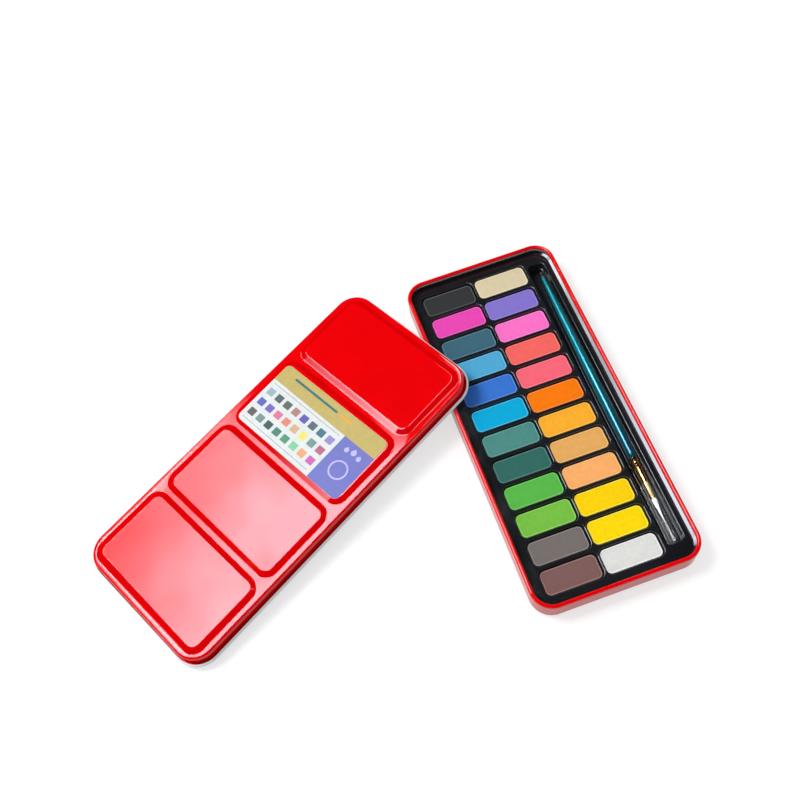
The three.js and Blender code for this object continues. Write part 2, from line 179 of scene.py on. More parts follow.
def end_drawing(piece, show=None):
    """Turns all faces the same way and leaves edit mode. An open skin's largest face looks towards show"""
    bpy.ops.mesh.select_all(action="SELECT")
    bpy.ops.mesh.normals_make_consistent(inside=False)
    bpy.ops.object.mode_set(mode="OBJECT")
    largest = max(piece.data.polygons, key=lambda face: face.area)
    if show and largest.normal.dot(show) < 0:
        bpy.ops.object.mode_set(mode="EDIT")
        bpy.ops.mesh.flip_normals()
        bpy.ops.object.mode_set(mode="OBJECT")
    return piece


def only(piece):
    """Selects one piece and nothing else"""
    bpy.ops.object.select_all(action="DESELECT")
    piece.select_set(True)
    bpy.context.view_layer.objects.active = piece


def apply_modifier(piece, kind, **settings):
    """Adds one modifier and applies it at once"""
    only(piece)
    bpy.ops.object.modifier_add(type=kind)
    modifier = piece.modifiers[-1]
    for name, value in settings.items():
        setattr(modifier, name, value)
    bpy.ops.object.modifier_apply(modifier=modifier.name)


def smooth(piece, degrees=SHARP_DEGREES):
    """Shades a piece smooth, save where it turns more sharply than an angle"""
    only(piece)
    bpy.ops.object.shade_smooth_by_angle(angle=math.radians(degrees))


def copy_of(piece, name):
    """A copy with a mesh of its own"""
    only(piece)
    bpy.ops.object.duplicate(linked=False)
    twin = bpy.context.object
    twin.name = name
    twin.data.name = name
    return twin


def put(piece, matrix):
    """Moves a piece and leaves its object at the origin, with its place in its mesh"""
    only(piece)
    piece.matrix_world = matrix
    bpy.ops.object.transform_apply(location=True, rotation=True, scale=True)
    return piece


def report(piece):
    """Prints a piece's name, faces and size"""
    size = [round(side / MM, 1) for side in piece.dimensions]
    print(f"{piece.name}: {len(piece.data.polygons)} faces, {size} mm")


# %% [markdown]
# ## Finishes
# Each finish is a small node tree on one Principled shader. What varies over a surface, such as colour
# and roughness, comes from noise in the piece's own coordinates, and what doesn't is set on the shader's
# own socket. The next cell holds the few node moves that all the finishes share.

# %% Helpers that make finishes


class Finish:
    """A material being built, with short ways to add the nodes that the finishes share"""

    def __init__(self, name, **settings):
        self.material = bpy.data.materials.new(name)
        self.material.use_nodes = True
        self.tree = self.material.node_tree
        self.shader = self.tree.nodes["Principled BSDF"]
        self.place = self.add("ShaderNodeTexCoord").outputs["Object"]
        for socket, value in settings.items():
            self.shader.inputs[socket.replace("_", " ")].default_value = value

    def add(self, kind, **settings):
        """A new node of a kind"""
        node = self.tree.nodes.new(kind)
        for name, value in settings.items():
            setattr(node, name, value)
        return node

    def link(self, output, to):
        self.tree.links.new(output, to)

    def noise(self, size, detail=3, stretch=(1, 1, 1), grit=0.5):
        """Noise whose lumps are about one size across, in metres. More grit gives more fine grain"""
        mapping = self.add("ShaderNodeMapping")
        mapping.inputs["Scale"].default_value = stretch
        self.link(self.place, mapping.inputs["Vector"])
        node = self.add("ShaderNodeTexNoise")
        node.inputs["Scale"].default_value = 1 / size
        node.inputs["Detail"].default_value = detail
        node.inputs["Roughness"].default_value = grit
        self.link(mapping.outputs["Vector"], node.inputs["Vector"])
        return node.outputs["Fac"]

    def between(self, value, low, high, start=0.35, end=0.65):
        """Carries a value between two numbers"""
        node = self.add("ShaderNodeMapRange")
        self.link(value, node.inputs["Value"])
        for name, number in (("From Min", start), ("From Max", end), ("To Min", low), ("To Max", high)):
            node.inputs[name].default_value = number
        return node.outputs["Result"]

    def tint(self, value, first, second, start=0.35, end=0.65):
        """Carries a value between two colours"""
        ramp = self.add("ShaderNodeValToRGB").color_ramp
        node = self.tree.nodes[-1]
        ramp.elements[0].position, ramp.elements[1].position = start, end
        ramp.elements[0].color, ramp.elements[1].color = first, second
        self.link(value, node.inputs["Fac"])
        return node.outputs["Color"]

    def blend(self, share, first, second):
        """Carries one colour over into another"""
        node = self.add("ShaderNodeMix", data_type="RGBA")
        for socket, value in (("Factor", share), ("A", first), ("B", second)):
            self.link(value, node.inputs[socket])
        return node.outputs["Result"]

    def along(self, axis):
        """How far a place lies along the piece's own X, Y or Z"""
        node = self.add("ShaderNodeSeparateXYZ")
        self.link(self.place, node.inputs["Vector"])
        return node.outputs[axis]

    def slant(self, direction):
        """How far a place lies along a direction"""
        node = self.add("ShaderNodeVectorMath", operation="DOT_PRODUCT")
        node.inputs[1].default_value = direction
        self.link(self.place, node.inputs[0])
        return node.outputs["Value"]

    def bump(self, height, depth, after=None):
        """Raises the surface by up to a depth in metres, on top of an earlier bump"""
        node = self.add("ShaderNodeBump")
        node.inputs["Strength"].default_value = 1
        node.inputs["Distance"].default_value = depth
        self.link(height, node.inputs["Height"])
        if after:
            self.link(after, node.inputs["Normal"])
        return node.outputs["Normal"]

    def reckon(self, operation, first, second):
        """One sum on two values"""
        node = self.add("ShaderNodeMath", operation=operation)
        self.link(first, node.inputs[0])
        self.link(second, node.inputs[1])
        return node.outputs["Value"]

    def times(self, first, second):
        return self.reckon("MULTIPLY", first, second)

    def plus(self, first, second):
        return self.reckon("ADD", first, second)

    def wear(self, socket, output):
        """Lets the shader follow an output"""
        self.link(output, self.shader.inputs[socket])


def shade(colour, share):
    """The same colour, lighter or darker"""
    return (*(min(1, channel * share) for channel in colour), 1)


# %% [markdown]
# ## Red and white lacquer
# The tin is printed sheet steel: a deep red lacquer outside and a white one inside, both under a clear
# gloss coat. Rolled sheet is never quite flat, so a broad low bump makes reflections swim a little, and a
# fine one gives the coat its orange peel.

# %% Make the lacquers
RED = (0.80, 0.0008, 0.0025)
WHITE = (0.92, 0.92, 0.95)
RED_VARIES, WHITE_VARIES = 0.06, 0.04
# How much darker the painted shade on the lid's slopes is
PAINTED_SHADE = 0.84


def lacquer(name, colour, variation, painted_shade_where=None):
    """Lacquered steel, with an optional painted shade: a deeper colour where a mask says so"""
    finish = Finish(name, Roughness=0.5, Coat_Weight=1.0, Coat_Roughness=0.04, Coat_IOR=1.55)
    finish.shader.inputs["Specular IOR Level"].default_value = 0
    broad = finish.noise(0.05, detail=1)
    tone = finish.noise(0.02, detail=4)
    coating = finish.tint(tone, shade(colour, 1 - variation), shade(colour, 1))
    # Painted shade: where the mask says so, the lacquer is drawn a deeper red
    if painted_shade_where:
        shaded_tone = finish.tint(tone, shade(colour, PAINTED_SHADE - variation), shade(colour, PAINTED_SHADE))
        coating = finish.blend(painted_shade_where(finish), coating, shaded_tone)
    finish.wear("Base Color", coating)
    peel = finish.bump(finish.noise(0.0012, detail=2), 0.0000004)
    swim = finish.bump(broad, 0.00015, after=peel)
    finish.wear("Coat Normal", swim)
    finish.wear("Normal", swim)
    return finish.material


red_lacquer = lacquer("red_lacquer", RED, RED_VARIES)
white_lacquer = lacquer("white_lacquer", WHITE, WHITE_VARIES)
print("lacquers:", red_lacquer.name, white_lacquer.name)

# %% [markdown]
# ## The tin
# The tin is drawn from one sheet: a floor with a rounded edge, an upright wall, and a rim rolled inwards
# so that the red outside shows on the bead. Only the outer skin is drawn, and Solidify gives it the
# sheet's thickness, with the white lacquer on the inner side.

# %% Model the tin
SHEET = 0.5 * MM
CORNER_STEPS = 20
tin_low, tin_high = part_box("base_tin")
tin_half_x, tin_half_y = (tin_high.x - tin_low.x) / 2, (tin_high.y - tin_low.y) / 2
TIN_HEIGHT = 16 * MM
TIN_CORNER = 13.3 * MM
FLOOR_BEND = 2.2 * MM
RIM_RADIUS = 1.3 * MM
RIM_DEGREES = 290

tin = begin("tin_body")
section = Section(tin_half_x, tin_half_y, TIN_CORNER, FLOOR_BEND, 0)
section.bend(FLOOR_BEND, FLOOR_BEND, 90, 6)
section.line(0, TIN_HEIGHT - RIM_RADIUS)
section.bend(RIM_RADIUS, TIN_HEIGHT - RIM_RADIUS, RIM_DEGREES, 24)
section.carry_round(CORNER_STEPS)
close_border(tin, 0)
end_drawing(tin, show=-UP)
report(tin)

# %% [markdown]
# ## From skin to sheet
# Solidify gives a drawn skin its thickness, away from the side that shows, and puts the inner finish on
# the new side and on the cut edge. Weighted normals then keep the flats flat right up to their bends.

# %% Make the tin from its skin


def sheet_metal(piece, thickness, outside, inside):
    """Gives a drawn skin its thickness and its two finishes"""
    piece.data.materials.append(outside)
    piece.data.materials.append(inside)
    apply_modifier(
        piece, "SOLIDIFY", thickness=thickness, offset=-1, use_even_offset=True,
        material_offset=1, material_offset_rim=1,
    )
    smooth(piece)
    apply_modifier(piece, "WEIGHTED_NORMAL", keep_sharp=True)


sheet_metal(tin, SHEET, red_lacquer, white_lacquer)
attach(tin, "tin")
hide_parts("base_tin")
report(tin)

# %% [markdown]
# ## The black tray
# The tray is a thermoformed sheet of glossy black plastic. Its deck has twenty-four wells, a long channel
# for the brush, and a deeper finger recess at the channel's far end. Round the deck the sheet slopes up
# under the tin's rim, which holds it in, then turns down as a skirt. This border, one well, the channel
# and the recess are each drawn as a section, the wells are copied, and the deck is filled in between.

# %% Make the black plastic
plastic = Finish("tray_black", Roughness=0.08, IOR=1.75)
cloud = plastic.noise(0.03, detail=2)
plastic.wear("Base Color", plastic.tint(cloud, (0.009, 0.010, 0.012, 1), (0.014, 0.016, 0.019, 1)))
plastic.wear("Roughness", plastic.between(plastic.noise(0.012, detail=3), 0.05, 0.11))
grain = plastic.bump(plastic.noise(0.0015, detail=2), 0.000002)
plastic.wear("Normal", plastic.bump(plastic.noise(0.025, detail=1), 0.00008, after=grain))
tray_black = plastic.material
print("plastic:", tray_black.name)

# %% Draw the tray's border
DECK = 10 * MM
TRAY_GAP = 1.0 * MM
TRAY_FOOT = 0.7 * MM
TRAY_BEAD = 0.4 * MM
BORDER_WIDTH = 2.4 * MM
BORDER_DEGREES = 24
BORDER_BEND = 0.5 * MM

tilt = math.radians(BORDER_DEGREES)
foot_inset = BORDER_WIDTH - BORDER_BEND * math.sin(tilt)
foot_height = DECK + BORDER_BEND * (1 - math.cos(tilt))
head_inset = TRAY_BEAD * (1 + math.sin(tilt))
head_height = foot_height + (foot_inset - head_inset) * math.tan(tilt)
bead_middle = head_height - TRAY_BEAD * math.cos(tilt)

tray = begin("tray_wall")
section = Section(tin_half_x - TRAY_GAP, tin_half_y - TRAY_GAP, TIN_CORNER - TRAY_GAP, 0, TRAY_FOOT)
section.line(0, bead_middle)
section.bend(TRAY_BEAD, bead_middle, 90 + BORDER_DEGREES, 10)
section.line(foot_inset, foot_height)
section.bend(BORDER_WIDTH, DECK + BORDER_BEND, -BORDER_DEGREES, 4)
section.carry_round(CORNER_STEPS)
bpy.ops.object.mode_set(mode="OBJECT")
report(tray)

# %% Press the wells
LIP = 0.65 * MM
FLOOR_FILLET = 0.5 * MM
CAKE_CORNER = 3.3 * MM
WELL_ROOM = 0.6 * MM
WELL_DRAFT = 0.35 * MM
WELL_DEPTH = 6 * MM
SMALL_CORNER_STEPS = 8


def pocket(name, half_x, half_y, radius, brim, floor, lip, draft, fillet, steps, closed=True):
    """A pocket pressed down from a flat: a rounded lip, a leaning wall and a filleted floor"""
    piece = begin(name)
    section = Section(half_x, half_y, radius, 0, brim)
    section.bend(0, brim - lip, 90, 4)
    section.line(lip + draft, floor + fillet)
    section.bend(lip + draft + fillet, floor + fillet, -90, 4)
    section.carry_round(steps)
    if closed:
        close_border(piece, floor)
    bpy.ops.object.mode_set(mode="OBJECT")
    return piece


cake_low, cake_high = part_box("paint_cake_left_06")
cake_half = (cake_high - cake_low) / 2
around_cake = WELL_ROOM + LIP
first_well = pocket(
    "well", cake_half.x + around_cake, cake_half.y + around_cake, CAKE_CORNER + around_cake,
    DECK, DECK - WELL_DEPTH, LIP, WELL_DRAFT, FLOOR_FILLET, SMALL_CORNER_STEPS,
)
cake_names = [f"paint_cake_{side}_{row:02d}" for side in ("left", "right") for row in range(1, 13)]
pockets = []
for name in cake_names:
    low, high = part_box(name)
    well = copy_of(first_well, "well_of_" + name)
    pockets.append(put(well, Matrix.Translation(((low.x + high.x) / 2, (low.y + high.y) / 2, 0))))
bpy.data.objects.remove(first_well)
print(len(pockets), "wells")

# %% Press the channel and its recess
CHANNEL_PLACE = Vector((38.4 * MM, 0.7 * MM, 0))
CHANNEL_HALF_X, CHANNEL_HALF_Y, CHANNEL_CORNER = 6.4 * MM, 105.5 * MM, 4.1 * MM
CHANNEL_FLOOR = 4.6 * MM
CHANNEL_DRAFT = CHANNEL_FILLET = 0.3 * MM
CHANNEL_STEPS = 12
RECESS_PLACE = Vector((38.4 * MM, 100.4 * MM, 0))
RECESS_HALF_X, RECESS_HALF_Y, RECESS_CORNER = 4.9 * MM, 4.3 * MM, 2.5 * MM
RECESS_FLOOR = 1.6 * MM
RECESS_LIP = 0.3 * MM
RECESS_DRAFT = RECESS_FILLET = 0.2 * MM

channel = pocket(
    "channel", CHANNEL_HALF_X, CHANNEL_HALF_Y, CHANNEL_CORNER, DECK, CHANNEL_FLOOR,
    LIP, CHANNEL_DRAFT, CHANNEL_FILLET, CHANNEL_STEPS, closed=False,
)
pockets.append(put(channel, Matrix.Translation(CHANNEL_PLACE)))
recess = pocket(
    "recess", RECESS_HALF_X, RECESS_HALF_Y, RECESS_CORNER, CHANNEL_FLOOR, RECESS_FLOOR,
    RECESS_LIP, RECESS_DRAFT, RECESS_FILLET, SMALL_CORNER_STEPS,
)
pockets.append(put(recess, Matrix.Translation(RECESS_PLACE)))
report(channel)
report(recess)

# %% Join the tray and fill its deck


def join(first, others, name):
    """Makes one piece of several"""
    only(first)
    for piece in others:
        piece.select_set(True)
    bpy.ops.object.join()
    first.name = name
    first.data.name = name
    return first


tray = join(tray, pockets, "paint_tray_pressing")
bpy.ops.object.mode_set(mode="EDIT")
close_border(tray, DECK)
close_border(tray, CHANNEL_FLOOR)
end_drawing(tray, show=UP)
sheet_metal(tray, SHEET, tray_black, tray_black)
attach(tray, "tin")
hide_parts("paint_tray")
report(tray)

# %% [markdown]
# ## Twenty-four half pans of paint
# Each cake is a pressed block of dry paint with a rounded shoulder, and the press leaves a faint groove a
# little way in from its edge. One block is modelled, then copied into every well. Dry paint is chalky: a
# mottle of lighter and darker pigment, a rough face, small pits, and hardly any shine.

# %% Make the paints
PAINTS = {
    "left": {
        "charcoal": "323435", "magenta": "e345b0", "slate_blue": "3a6577", "sky_blue": "4da5d0",
        "cobalt": "3572cd", "cerulean": "00a6d6", "viridian": "4b8983", "pine": "30685f",
        "leaf": "57b548", "light_green": "75bd44", "umber": "756d6a", "mauve_brown": "7e5c5a",
    },
    "right": {
        "buff": "d3c6a4", "violet": "8171c8", "pink": "f66fc3", "coral": "f0645f",
        "rose": "f36577", "orange": "f67800", "amber": "f8ac2c", "ochre": "e3a95e",
        "peach": "f8ad68", "yellow": "fad000", "lemon": "fbd800", "white": "dedfdc",
    },
}
EDGE_STARTS, EDGE_FULL = 0.11 * MM, 0.07 * MM


def from_code(code):
    """A colour as it shows on a screen, six hexadecimal digits, as linear light"""
    shown = [int(code[start:start + 2], 16) / 255 for start in (0, 2, 4)]
    return tuple(part / 12.92 if part <= 0.04045 else ((part + 0.055) / 1.055) ** 2.4 for part in shown)


def dry_paint(name, code, top):
    """Pressed paint whose edge, just under its highest level, is paler: partly dust, partly a painted
    highlight
    """
    colour = from_code(code)
    finish = Finish(name, Roughness=0.8)
    finish.shader.inputs["Specular IOR Level"].default_value = 0.12
    mottle = finish.noise(0.003, detail=8, grit=0.8)
    face = finish.tint(mottle, shade(colour, 0.92), shade(colour, 1.05))
    # The paler edge is partly dust and partly a painted highlight, where the rim of the cake catches the
    # light
    dust_and_highlight = [1.15 * channel + 0.07 for channel in colour]
    edge = finish.tint(mottle, shade(dust_and_highlight, 0.95), shade(dust_and_highlight, 1.15))
    height = finish.between(finish.along("Z"), 0, 1, start=top - EDGE_STARTS, end=top - EDGE_FULL)
    finish.wear("Base Color", finish.blend(height, face, edge))
    finish.wear("Roughness", finish.between(mottle, 0.68, 0.88))
    pits = finish.bump(finish.noise(0.0004, detail=5), 0.00003)
    finish.wear("Normal", finish.bump(mottle, 0.00003, after=pits))
    return finish.material


print("paints:", {side: len(paints) for side, paints in PAINTS.items()})

# %% Model one cake
CAKE_FOOT = 0.4 * MM
CAKE_SHOULDER = 0.4 * MM
FACE_DEPTH = 0.13
GROOVE = ((0.68, 0), (0.78, 0.06), (0.9, 0.15), (1.05, 0.18), (1.3, 0.15), (1.9, FACE_DEPTH))

first_cake = begin("cake")
section = Section(cake_half.x, cake_half.y, CAKE_CORNER, CAKE_FOOT, -cake_half.z)
section.line(0, -cake_half.z + CAKE_FOOT)
section.line(0, cake_half.z - CAKE_SHOULDER)
section.bend(CAKE_SHOULDER, cake_half.z - CAKE_SHOULDER, 90, 5)
for inset, depth in GROOVE:
    section.line(inset * MM, cake_half.z - depth * MM)
section.carry_round(SMALL_CORNER_STEPS)
close_border(first_cake, -cake_half.z)
close_border(first_cake, cake_half.z - FACE_DEPTH * MM)
end_drawing(first_cake)
smooth(first_cake)
apply_modifier(first_cake, "WEIGHTED_NORMAL", keep_sharp=True)
report(first_cake)

# %% Copy the cake into every well
for side, paints in PAINTS.items():
    for row, (paint, code) in enumerate(paints.items(), 1):
        node = f"paint_cake_{side}_{row:02d}"
        low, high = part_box(node)
        cake = copy_of(first_cake, f"cake_{side}_{row:02d}_{paint}")
        cake.data.materials.append(dry_paint(f"dry_{side}_{paint}", code, high.z))
        put(cake, Matrix.Translation((low + high) / 2))
        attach(cake, "tin")
        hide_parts(node)
report(cake)
bpy.data.objects.remove(first_cake)

# %% [markdown]
# ## The lid
# The lid is the same printed sheet: a deck with four raised mixing wells, a rounded shoulder, a short
# skirt and a small curl that turns outwards, so that its bead shows the white inner side. It lies on its
# own frame here, and one matrix then leans it across the tin's rim. The slopes of the wells carry a
# painted shade, a deeper red; they are found by their height over the lid's open edge.

# %% Say how the lid leans across the tin's rim
LID_OVERHANG = 14.8 * MM
LID_ALONG = 22 * MM
LID_TURN_DEGREES = -62.2
LID_TILT_DEGREES = -3.881
LID_REACH = 125.593 * MM
REST_GAP = 0.25 * MM

lid_lean = (
    Matrix.Translation((RIM_RADIUS - tin_half_x, 0, TIN_HEIGHT + REST_GAP))
    @ Matrix.Rotation(math.radians(LID_TILT_DEGREES), 4, "Y")
    @ Matrix.Translation((LID_OVERHANG - LID_REACH - RIM_RADIUS, LID_ALONG, 0))
    @ Matrix.Rotation(math.radians(LID_TURN_DEGREES), 4, "Z")
)
print("lid leans by", -LID_TILT_DEGREES, "degrees")

# %% Press the mixing wells
LID_DECK = 9.3 * MM
MIXING_WELLS = 4
PANEL_HALF_X, PANEL_HALF_Y, PANEL_CORNER = 48.35 * MM, 27.5875 * MM, 8.5 * MM
PANEL_PITCH = 58.175 * MM
PANEL_RISE = 1.05 * MM
PANEL_SLOPE = 3.6 * MM
CREASE_RADIUS = 3.6 * MM
CREST_FLAT = 0.2 * MM
PANEL_STEPS = 14

slope_degrees = math.degrees(math.atan(PANEL_RISE / PANEL_SLOPE))
crease_reach = CREASE_RADIUS * math.tan(math.radians(slope_degrees / 2))

first_panel = begin("mixing_panel")
section = Section(PANEL_HALF_X, PANEL_HALF_Y, PANEL_CORNER, -crease_reach, LID_DECK)
section.bend(-crease_reach, LID_DECK + CREASE_RADIUS, -slope_degrees, 5)
crest_drop = crease_reach * math.sin(math.radians(slope_degrees))
crest_back = crease_reach * math.cos(math.radians(slope_degrees))
section.line(PANEL_SLOPE - crest_back, LID_DECK + PANEL_RISE - crest_drop)
section.bend(PANEL_SLOPE + crease_reach, LID_DECK + PANEL_RISE - CREASE_RADIUS, slope_degrees, 5)
section.line(PANEL_SLOPE + crease_reach + CREST_FLAT, LID_DECK + PANEL_RISE)
section.carry_round(PANEL_STEPS)
close_border(first_panel, LID_DECK + PANEL_RISE)
bpy.ops.object.mode_set(mode="OBJECT")

panels = []
for number in range(MIXING_WELLS):
    panel = copy_of(first_panel, f"mixing_panel_{number + 1}")
    along = (number - (MIXING_WELLS - 1) / 2) * PANEL_PITCH
    panels.append(put(panel, Matrix.Translation((0, along, 0))))
bpy.data.objects.remove(first_panel)
print(len(panels), "mixing wells, their slopes at", round(slope_degrees, 1), "degrees")

# %% Draw the lid's edge and fill its deck
LID_HALF_X, LID_HALF_Y, LID_CORNER = 52.55 * MM, 118.65 * MM, 14.45 * MM
LID_SHOULDER = 1.5 * MM
CURL_INNER = 1.0 * MM
CURL_HEIGHT = 1.5 * MM
CURL_DEGREES = 255

lid = begin("lid_skin")
section = Section(LID_HALF_X, LID_HALF_Y, LID_CORNER, LID_SHOULDER, LID_DECK)
section.bend(LID_SHOULDER, LID_DECK - LID_SHOULDER, -90, 8)
section.line(0, CURL_HEIGHT)
section.bend(-CURL_INNER, CURL_HEIGHT, CURL_DEGREES, 16)
section.carry_round(CORNER_STEPS)
bpy.ops.object.mode_set(mode="OBJECT")

lid = join(lid, panels, "lid_pressing")
bpy.ops.object.mode_set(mode="EDIT")
close_border(lid, LID_DECK)
end_drawing(lid, show=UP)
report(lid)

# %% Lacquer the lid and lean it on the tin
CREASE_SKIPPED, CREASE_CLEARED = 0.04 * MM, 0.16 * MM


def painted_shade_on_slopes(finish):
    """Where the mixing wells slope, by the height over the lid's open edge: the mask of the painted shade"""
    lid_up = lid_lean.to_3x3() @ UP
    foot = lid_lean.translation.dot(lid_up) + LID_DECK
    crest = foot + PANEL_RISE
    height = finish.slant(lid_up)
    above_foot = finish.between(height, 0, 1, start=foot + CREASE_SKIPPED, end=foot + CREASE_CLEARED)
    below_crest = finish.between(height, 1, 0, start=crest - CREASE_CLEARED, end=crest - CREASE_SKIPPED)
    return finish.times(above_foot, below_crest)


# The lid's red, drawn a deeper red on the slopes of its mixing wells as painted shade
lid_lacquer = lacquer("lid_lacquer", RED, RED_VARIES, painted_shade_where=painted_shade_on_slopes)
sheet_metal(lid, SHEET, lid_lacquer, white_lacquer)
put(lid, lid_lean)
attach(lid, "lid")
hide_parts("lid_shell")
report(lid)

# %% [markdown]
# ## The label
# A printed film is stuck on the third mixing well. Its design is plain: a gold strip with a brush stroke,
# a violet block with a ring and drops, and three rows of eight squares. The film is a thin plate, and each
# printed area is a face about a hundredth of a millimetre above it.

# %% Make the printing inks
INKS = {
    "film_white": "d5dada", "gold_strip": "bba862", "violet_block": "6b70b8", "pale_lilac": "b9b4ee",
    "deep_teal": "2c6a70", "amber_end": "e2a13c", "grey_line": "6d6f7c",
}
SQUARES = (
    "93aab4", "4a5f5c", "4f6258", "a57a78", "5a56a6", "52626f", "3f6d80", "8f86c4",
    "5560b0", "6c62b4", "d0708c", "d8806c", "c9a884", "e6d96a", "6f8f8c", "b0607e",
    "5d5550", "6f8a88", "38504e", "3f7d68", "4a8f6a", "7fc09a", "e0a070", "c65fae",
)


def ink(name, code):
    """A flat ink with a little unevenness in its tone"""
    colour = from_code(code)
    finish = Finish(name, Roughness=0.45)
    finish.shader.inputs["Specular IOR Level"].default_value = 0.22
    tone = finish.noise(0.004, detail=4)
    finish.wear("Base Color", finish.tint(tone, shade(colour, 0.95), shade(colour, 1.03)))
    finish.wear("Roughness", finish.between(tone, 0.3, 0.4))
    finish.wear("Normal", finish.bump(finish.noise(0.008, detail=2), 0.00002))
    return finish.material


print("inks:", len(INKS), "for the design and", len(SQUARES), "for the squares")

# %% Cut the film
LABEL_HALF_X, LABEL_HALF_Y, LABEL_CORNER = 44.5 * MM, 23.6 * MM, 3.4 * MM
FILM = 0.15 * MM
FILM_EDGE = 0.03 * MM

film = begin("label_film")
section = Section(LABEL_HALF_X, LABEL_HALF_Y, LABEL_CORNER, FILM_EDGE, 0)
section.line(0, FILM_EDGE)
section.line(0, FILM - FILM_EDGE)
section.line(FILM_EDGE, FILM)
section.carry_round(SMALL_CORNER_STEPS)
close_border(film, 0)
close_border(film, FILM)
end_drawing(film)
film.data.materials.append(ink("film_white", INKS["film_white"]))
report(film)

# %% Helpers that print
PRINT = 0.012 * MM


def printed(name, code, half_x, half_y, radius, x, y, layer=1):
    """A rounded rectangle of ink on the film, its sizes in millimetres"""
    piece = begin(name)
    section = Section(half_x * MM, half_y * MM, radius * MM, 0, FILM + layer * PRINT)
    section.carry_round(6)
    bpy.ops.mesh.edge_face_add()
    end_drawing(piece, show=UP)
    piece.data.materials.append(ink(name, code))
    return put(piece, Matrix.Translation((x * MM, y * MM, 0)))


def drop(name, code, radius, x, y):
    """A drop of ink: three quarters of a circle, drawn out to a point"""
    piece = begin(name)
    start = radius * MM * math.sqrt(0.5)
    move((start, start, FILM + 2 * PRINT))
    spin(-270, 18, (0, 0, FILM), (0, 0, 1))
    pull((start, start, 0))
    bpy.ops.mesh.select_all(action="SELECT")
    bpy.ops.mesh.edge_face_add()
    end_drawing(piece, show=UP)
    piece.data.materials.append(ink(name, code))
    return put(piece, Matrix.Translation((x * MM, y * MM, 0)))


# %% Print the design
SQUARES_IN_A_ROW = 8
FIRST_SQUARE_X, FIRST_SQUARE_Y = -39.0, 2.3
SQUARE_PITCH_X, SQUARE_PITCH_Y = 7.6, 8.6

# Name, ink, half width, half height, corner, place across, place along, and the layer if it isn't the first
DESIGN = (
    ("gold_strip", "gold_strip", 44.47, 6.6, 3.4, 0, 16.95),
    ("gold_foot", "gold_strip", 44.47, 3.0, 0.1, 0, 13.35, 1.2),
    ("violet_block", "violet_block", 12.4, 16.95, 3.4, 32.07, -6.6),
    ("violet_head", "violet_block", 12.4, 3.6, 0.1, 32.07, 6.75, 1.2),
    ("violet_side", "violet_block", 4.0, 13.4, 0.1, 23.67, -10.15, 1.2),
    ("stroke", "deep_teal", 19.0, 0.75, 0.7, -14.0, 18.6, 2),
    ("stroke_end", "amber_end", 5.0, 0.75, 0.7, 12.0, 18.6, 2),
    ("upper_line", "grey_line", 29.5, 0.14, 0.1, -12.5, 8.2),
    ("lower_line", "grey_line", 29.5, 0.14, 0.1, -12.5, -20.6),
    ("ring", "pale_lilac", 6.4, 6.4, 6.3, 32.0, -8.5, 2),
    ("ring_heart", "violet_block", 5.3, 5.3, 5.2, 32.0, -8.5, 3),
)
DROPS = (("drop_one", 1.6, 27.0, 4.2), ("drop_two", 1.9, 32.0, 5.4), ("drop_three", 1.6, 37.0, 4.2))

prints = [printed(name, INKS[colour], *sizes) for name, colour, *sizes in DESIGN]
prints += [drop(name, INKS["pale_lilac"], *sizes) for name, *sizes in DROPS]
for number, code in enumerate(SQUARES):
    row, column = divmod(number, SQUARES_IN_A_ROW)
    x = FIRST_SQUARE_X + SQUARE_PITCH_X * column
    y = FIRST_SQUARE_Y - SQUARE_PITCH_Y * row
    prints.append(printed(f"square_{number + 1:02d}", code, 2.6, 2.5, 0.5, x, y))
print(len(prints), "printed areas")

# %% Stick the label on the lid
LABEL_PLACE = Vector((-0.6 * MM, 28.19 * MM, LID_DECK + PANEL_RISE + 0.05 * MM))
LABEL_TURN_DEGREES = 0.6
label = join(film, prints, "printed_label")
label_turn = Matrix.Rotation(math.radians(LABEL_TURN_DEGREES), 4, "Z")
put(label, lid_lean @ Matrix.Translation(LABEL_PLACE) @ label_turn)
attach(label, "lid")
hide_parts("lid_label")
report(label)

# %% [markdown]
# ## The brush
# The handle, the ferrule and the sleeve are turned shapes: half a profile, spun right round the brush's
# own axis. The brush is drawn with the ferrule's tip at the origin and the handle running along +Y, and
# one matrix then lays it on the channel's floor.

# %% Helpers for turned shapes
TURN_STEPS = 48
TURN_MERGE_REACH = 0.002 * MM
TURN_SHARP_DEGREES = 35
BRUSH_TIP = Vector((38.9 * MM, -75 * MM, 7.65 * MM))
BRUSH_TURN_DEGREES = -0.45
brush_turn = Matrix.Rotation(math.radians(BRUSH_TURN_DEGREES), 4, "Z")
brush_lie = Matrix.Translation(BRUSH_TIP) @ brush_turn


def turned(name, profile):
    """Spins a profile, given as radii and places along the axis in millimetres, right round"""
    piece = begin(name)
    (radius, along), *rest = profile
    move((radius * MM, along * MM, 0))
    for next_radius, next_along in rest:
        pull(((next_radius - radius) * MM, (next_along - along) * MM, 0))
        radius, along = next_radius, next_along
    bpy.ops.mesh.select_all(action="SELECT")
    spin(360, TURN_STEPS, (0, 0, 0), (0, 1, 0))
    bpy.ops.mesh.select_all(action="SELECT")
    bpy.ops.mesh.remove_doubles(threshold=TURN_MERGE_REACH)
    end_drawing(piece)
    smooth(piece, TURN_SHARP_DEGREES)
    return put(piece, brush_lie)


def eased(stations, steps):
    """Rounds a profile: between each two stations the radius swells or shrinks with an easy start and end"""
    points = [stations[0]]
    for (radius, along), (next_radius, next_along) in zip(stations, stations[1:]):
        for step in range(1, steps + 1):
            share = step / steps
            ease = share * share * (3 - 2 * share)
            points.append((radius + ease * (next_radius - radius), along + share * (next_along - along)))
    return points


def round_end(radius, along, steps):
    """A rounded end: from its full radius to the axis"""
    turns = [math.radians(90 * step / steps) for step in range(1, steps + 1)]
    return [(radius * math.cos(turn), along + radius * math.sin(turn)) for turn in turns]
